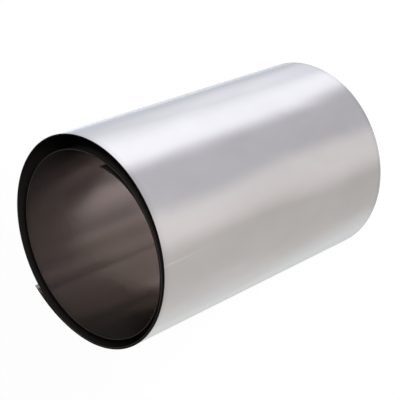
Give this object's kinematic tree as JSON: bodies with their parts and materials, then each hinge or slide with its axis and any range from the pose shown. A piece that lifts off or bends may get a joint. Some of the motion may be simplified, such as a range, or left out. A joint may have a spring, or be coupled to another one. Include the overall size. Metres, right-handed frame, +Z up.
{
  "type": "roll of titanium sheet",
  "caption": "Thin metal sheet coiled loosely into an open roll that stands on one end, with its turns showing on both ends and an open bore through the middle.",
  "frame": {"origin": "centre of the bounding box, on the floor plane that the roll's lower end stands on", "axes": "+Z up along the roll. Its upper end is the one that shows in the picture, with picture right as +X and picture up as +Y on that end"},
  "size_m": [0.1924, 0.1966, 0.3],
  "materials": {
    "titanium": "smooth mill-finish titanium, bright satin"
  },
  "bodies": {
    "root": {"sheet_roll": "titanium"}
  },
  "joints": []
}
